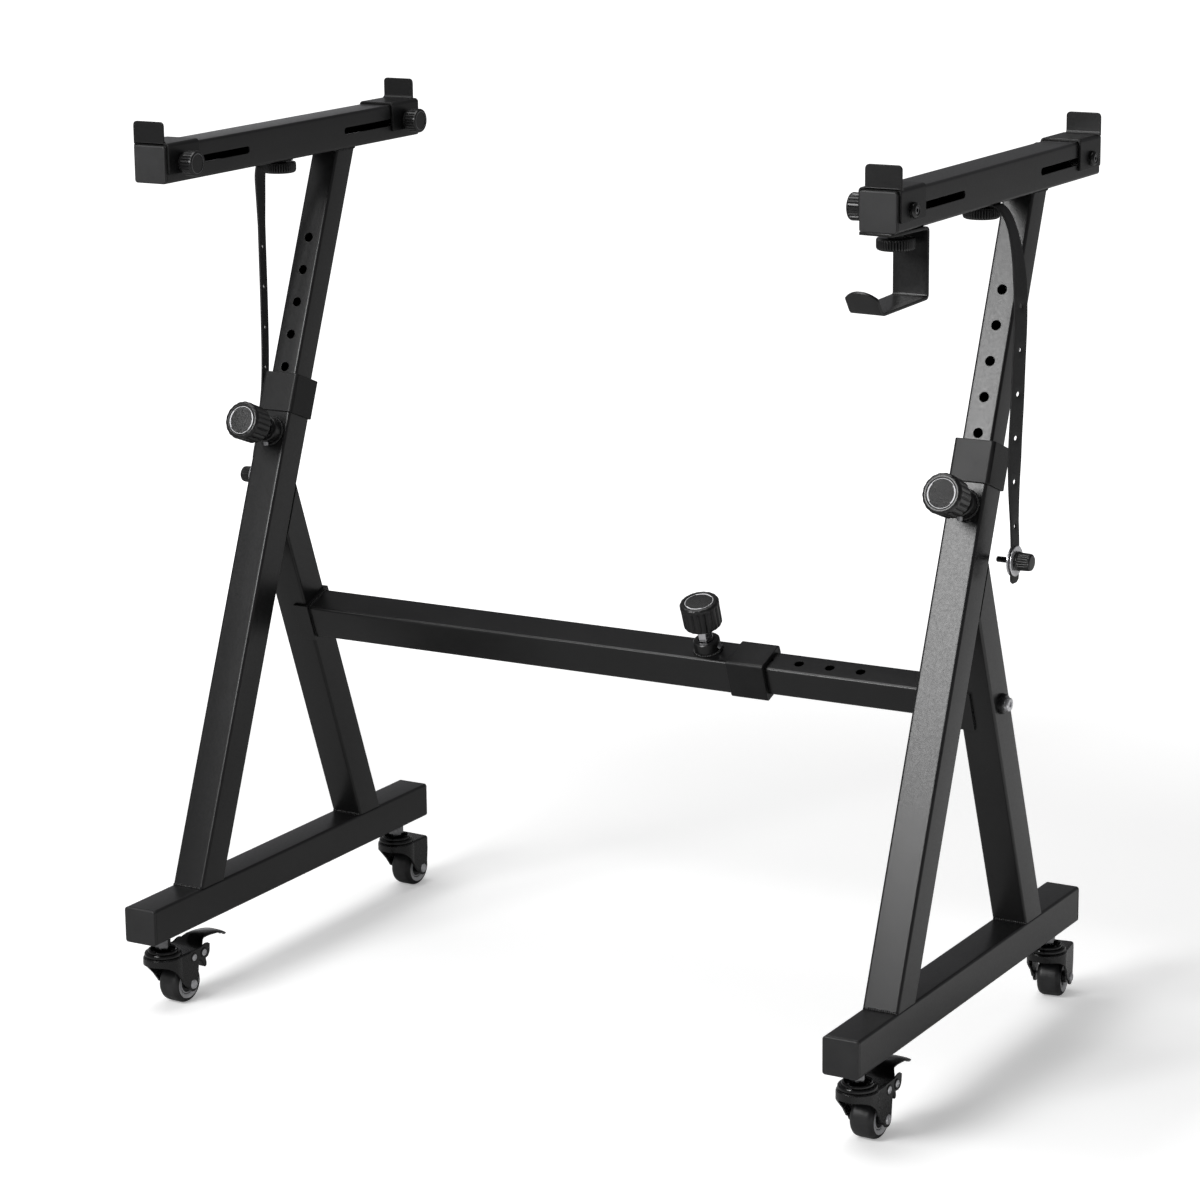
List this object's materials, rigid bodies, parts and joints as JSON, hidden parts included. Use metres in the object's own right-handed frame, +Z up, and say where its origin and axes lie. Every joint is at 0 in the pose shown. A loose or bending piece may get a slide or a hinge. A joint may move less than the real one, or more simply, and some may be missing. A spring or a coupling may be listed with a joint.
{
  "type": "keyboard stand",
  "caption": "Width-adjustable keyboard stand with A-shaped tube frames on braked casters, telescopic masts, support arms with sliding stops and a headphone hook.",
  "frame": {"origin": "on the floor, under the middle of the bounding box", "axes": "+X to the right frame as the player sees the stand, +Y from the player to the rear, +Z up"},
  "size_m": [0.9252, 0.54, 0.9254],
  "materials": {
    "black_steel": "satin powder coat",
    "gloss_black_steel": "gloss",
    "black_plastic": "matt",
    "strap_rubber": "matt",
    "wheel_rubber": "matt",
    "zinc_steel": "zinc plated"
  },
  "bodies": {
    "left_frame": {"left_foot": "black_steel", "left_foot_caps": "black_plastic", "left_leg": "black_steel", "left_strut": "black_steel", "left_collars": "black_plastic", "left_caster_stems": "zinc_steel", "left_lock_barrels": "zinc_steel", "crossbar_outer": "black_steel", "left_bracket_bolt": "zinc_steel"},
    "right_frame": {"right_foot": "black_steel", "right_foot_caps": "black_plastic", "right_leg": "black_steel", "right_strut": "black_steel", "right_collar": "black_plastic", "right_caster_stems": "zinc_steel", "right_lock_barrel": "zinc_steel", "crossbar_inner": "black_steel", "right_bracket_bolt": "zinc_steel"},
    "left_mast": {"left_mast": "black_steel", "left_arm": "black_steel", "left_arm_caps": "black_plastic", "left_strap": "strap_rubber"},
    "right_mast": {"right_mast": "black_steel", "right_arm": "black_steel", "right_arm_caps": "black_plastic", "right_strap": "strap_rubber"},
    "left_lock_pin": {"left_lock_pin": "zinc_steel"},
    "left_lock_knob": {"left_lock_knob": "black_plastic"},
    "right_lock_pin": {"right_lock_pin": "zinc_steel"},
    "right_lock_knob": {"right_lock_knob": "black_plastic"},
    "width_lock_pin": {"width_lock_pin": "zinc_steel"},
    "width_lock_knob": {"width_lock_knob": "black_plastic"},
    "left_front_stop": {"left_front_stop": "black_steel"},
    "left_front_stop_knob": {"left_front_stop_knob": "black_plastic"},
    "left_rear_stop": {"left_rear_stop": "black_steel"},
    "left_rear_stop_knob": {"left_rear_stop_knob": "black_plastic"},
    "left_strap_knob": {"left_strap_knob": "black_plastic"},
    "left_strap_screw": {"left_strap_screw": "black_plastic"},
    "right_front_stop": {"right_front_stop": "black_steel"},
    "right_front_stop_knob": {"right_front_stop_knob": "black_plastic"},
    "right_rear_stop": {"right_rear_stop": "black_steel"},
    "right_rear_stop_knob": {"right_rear_stop_knob": "black_plastic"},
    "right_strap_knob": {"right_strap_knob": "black_plastic"},
    "right_strap_screw": {"right_strap_screw": "black_plastic"},
    "headphone_hook": {"headphone_hook": "black_steel"},
    "hook_knob": {"hook_knob": "black_plastic"},
    "left_front_fork": {"left_front_fork": "black_steel", "left_front_axle": "zinc_steel"},
    "left_front_wheel": {"left_front_wheel": "wheel_rubber"},
    "left_brake_pedal": {"left_brake_pedal": "gloss_black_steel"},
    "left_rear_fork": {"left_rear_fork": "black_steel", "left_rear_axle": "zinc_steel"},
    "left_rear_wheel": {"left_rear_wheel": "wheel_rubber"},
    "right_front_fork": {"right_front_fork": "black_steel", "right_front_axle": "zinc_steel"},
    "right_front_wheel": {"right_front_wheel": "wheel_rubber"},
    "right_brake_pedal": {"right_brake_pedal": "gloss_black_steel"},
    "right_rear_fork": {"right_rear_fork": "black_steel", "right_rear_axle": "zinc_steel"},
    "right_rear_wheel": {"right_rear_wheel": "wheel_rubber"}
  },
  "joints": [
    {"name": "width_slide", "type": "slide", "parent": "left_frame", "child": "right_frame", "axis": [1, 0, 0], "range_m": [-0.1725, 0.138]},
    {"name": "left_height_slide", "type": "slide", "parent": "left_frame", "child": "left_mast", "axis": [0, 0.3665, 0.9304], "range_m": [-0.213, 0.1065]},
    {"name": "left_lock_plunge", "type": "slide", "parent": "left_frame", "child": "left_lock_pin", "axis": [0, 0.9304, -0.3665], "range_m": [0, 0.012]},
    {"name": "left_lock_turn", "type": "hinge", "parent": "left_lock_pin", "child": "left_lock_knob", "pos_m": [-0.404, -0.00468, 0.57627], "axis": [0, -0.9304, 0.3665], "continuous": true},
    {"name": "right_height_slide", "type": "slide", "parent": "right_frame", "child": "right_mast", "axis": [0, 0.3665, 0.9304], "range_m": [-0.213, 0.1065]},
    {"name": "right_lock_plunge", "type": "slide", "parent": "right_frame", "child": "right_lock_pin", "axis": [0, 0.9304, -0.3665], "range_m": [0, 0.012]},
    {"name": "right_lock_turn", "type": "hinge", "parent": "right_lock_pin", "child": "right_lock_knob", "pos_m": [0.404, -0.00468, 0.57627], "axis": [0, -0.9304, 0.3665], "continuous": true},
    {"name": "width_lock_plunge", "type": "slide", "parent": "left_frame", "child": "width_lock_pin", "axis": [0, 0.342, -0.9397], "range_m": [0, 0.012]},
    {"name": "width_lock_turn", "type": "hinge", "parent": "width_lock_pin", "child": "width_lock_knob", "pos_m": [0.099, 0.04112, 0.38529], "axis": [0, -0.342, 0.9397], "continuous": true},
    {"name": "left_front_stop_slide", "type": "slide", "parent": "left_mast", "child": "left_front_stop", "axis": [0, 1, 0], "range_m": [0, 0.115]},
    {"name": "left_front_stop_knob_turn", "type": "hinge", "parent": "left_front_stop", "child": "left_front_stop_knob", "pos_m": [-0.382, -0.17401, 0.88276], "axis": [1, 0, 0], "continuous": true},
    {"name": "left_rear_stop_slide", "type": "slide", "parent": "left_mast", "child": "left_rear_stop", "axis": [0, -1, 0], "range_m": [0, 0.115]},
    {"name": "left_rear_stop_knob_turn", "type": "hinge", "parent": "left_rear_stop", "child": "left_rear_stop_knob", "pos_m": [-0.382, 0.24199, 0.88276], "axis": [1, 0, 0], "continuous": true},
    {"name": "left_strap_knob_turn", "type": "hinge", "parent": "left_mast", "child": "left_strap_knob", "pos_m": [-0.404, 0.02499, 0.86376], "axis": [0, 0, 1], "continuous": true},
    {"name": "left_strap_screw_turn", "type": "hinge", "parent": "left_mast", "child": "left_strap_screw", "pos_m": [-0.444, 0.02499, 0.51876], "axis": [1, 0, 0], "continuous": true},
    {"name": "right_front_stop_slide", "type": "slide", "parent": "right_mast", "child": "right_front_stop", "axis": [0, 1, 0], "range_m": [0, 0.115]},
    {"name": "right_front_stop_knob_turn", "type": "hinge", "parent": "right_front_stop", "child": "right_front_stop_knob", "pos_m": [0.382, -0.17401, 0.88276], "axis": [1, 0, 0], "continuous": true},
    {"name": "right_rear_stop_slide", "type": "slide", "parent": "right_mast", "child": "right_rear_stop", "axis": [0, -1, 0], "range_m": [0, 0.115]},
    {"name": "right_rear_stop_knob_turn", "type": "hinge", "parent": "right_rear_stop", "child": "right_rear_stop_knob", "pos_m": [0.382, 0.24199, 0.88276], "axis": [1, 0, 0], "continuous": true},
    {"name": "right_strap_knob_turn", "type": "hinge", "parent": "right_mast", "child": "right_strap_knob", "pos_m": [0.404, 0.02499, 0.86376], "axis": [0, 0, 1], "continuous": true},
    {"name": "right_strap_screw_turn", "type": "hinge", "parent": "right_mast", "child": "right_strap_screw", "pos_m": [0.444, 0.02499, 0.51876], "axis": [1, 0, 0], "continuous": true},
    {"name": "hook_swivel", "type": "hinge", "parent": "right_mast", "child": "headphone_hook", "pos_m": [0.404, -0.16401, 0.86376], "axis": [0, 0, 1], "range_deg": [-90, 90]},
    {"name": "hook_knob_turn", "type": "hinge", "parent": "right_mast", "child": "hook_knob", "pos_m": [0.404, -0.16401, 0.86376], "axis": [0, 0, 1], "continuous": true},
    {"name": "left_front_caster_swivel", "type": "hinge", "parent": "left_frame", "child": "left_front_fork", "pos_m": [-0.404, -0.23199, 0.055], "axis": [0, 0, 1], "continuous": true},
    {"name": "left_front_wheel_spin", "type": "hinge", "parent": "left_front_fork", "child": "left_front_wheel", "pos_m": [-0.40226, -0.20705, 0.021], "axis": [0.9976, -0.0698, 0], "continuous": true},
    {"name": "left_brake_press", "type": "hinge", "parent": "left_front_fork", "child": "left_brake_pedal", "pos_m": [-0.40212, -0.20506, 0.0502], "axis": [-0.9976, 0.0698, 0], "range_deg": [0, 10]},
    {"name": "left_rear_caster_swivel", "type": "hinge", "parent": "left_frame", "child": "left_rear_fork", "pos_m": [-0.404, 0.21801, 0.055], "axis": [0, 0, 1], "continuous": true},
    {"name": "left_rear_wheel_spin", "type": "hinge", "parent": "left_rear_fork", "child": "left_rear_wheel", "pos_m": [-0.40269, 0.24297, 0.021], "axis": [0.9986, -0.0523, 0], "continuous": true},
    {"name": "right_front_caster_swivel", "type": "hinge", "parent": "right_frame", "child": "right_front_fork", "pos_m": [0.404, -0.23199, 0.055], "axis": [0, 0, 1], "continuous": true},
    {"name": "right_front_wheel_spin", "type": "hinge", "parent": "right_front_fork", "child": "right_front_wheel", "pos_m": [0.40487, -0.20701, 0.021], "axis": [0.9994, -0.0349, 0], "continuous": true},
    {"name": "right_brake_press", "type": "hinge", "parent": "right_front_fork", "child": "right_brake_pedal", "pos_m": [0.40494, -0.20501, 0.0502], "axis": [-0.9994, 0.0349, 0], "range_deg": [0, 10]},
    {"name": "right_rear_caster_swivel", "type": "hinge", "parent": "right_frame", "child": "right_rear_fork", "pos_m": [0.404, 0.21801, 0.055], "axis": [0, 0, 1], "continuous": true},
    {"name": "right_rear_wheel_spin", "type": "hinge", "parent": "right_rear_fork", "child": "right_rear_wheel", "pos_m": [0.40052, 0.24276, 0.021], "axis": [0.9903, 0.1392, 0], "continuous": true}
  ]
}
